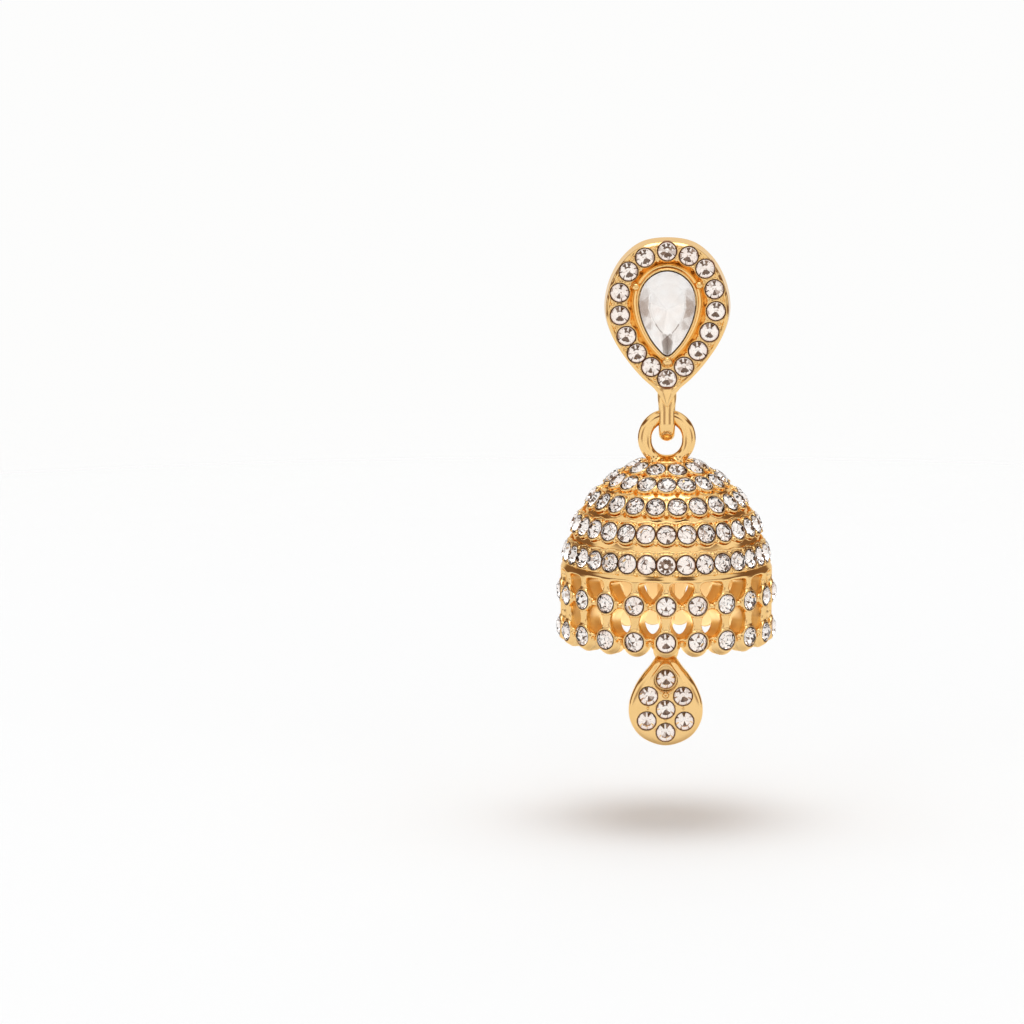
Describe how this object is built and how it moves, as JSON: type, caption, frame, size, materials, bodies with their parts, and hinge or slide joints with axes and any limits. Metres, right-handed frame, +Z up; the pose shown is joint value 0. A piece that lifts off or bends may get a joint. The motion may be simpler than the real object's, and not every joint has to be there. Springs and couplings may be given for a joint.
{
  "type": "jhumka drop earring",
  "caption": "Gold-tone jhumka earring: a pear crystal stud on an ear post, an openwork stone-set bell hanging from its loop, and a small pear drop hooked inside the bell.",
  "frame": {"origin": "where the ear post leaves the flat back of the stud", "axes": "+Y along the ear post, away from the stud's front; +Z up along the hanging line; +X to the right as seen from the front"},
  "size_m": [0.0226, 0.0237, 0.0549],
  "materials": {
    "gold_plate": "polished light yellow gold plating",
    "crystal": "faceted clear crystal"
  },
  "bodies": {
    "stud": {"stud_setting": "gold_plate", "centre_stone": "crystal"},
    "bell": {"bell": "gold_plate"},
    "drop": {"pear_drop": "gold_plate"}
  },
  "joints": [
    {"name": "bell_swing", "type": "hinge", "parent": "stud", "child": "bell", "pos_m": [0, -0.00135, -0.01411], "axis": [0, 1, 0], "range_deg": [-95, 95]},
    {"name": "drop_swing", "type": "hinge", "parent": "bell", "child": "drop", "pos_m": [0, -0.00135, -0.03754], "axis": [0, 1, 0], "range_deg": [-72, 72]}
  ]
}
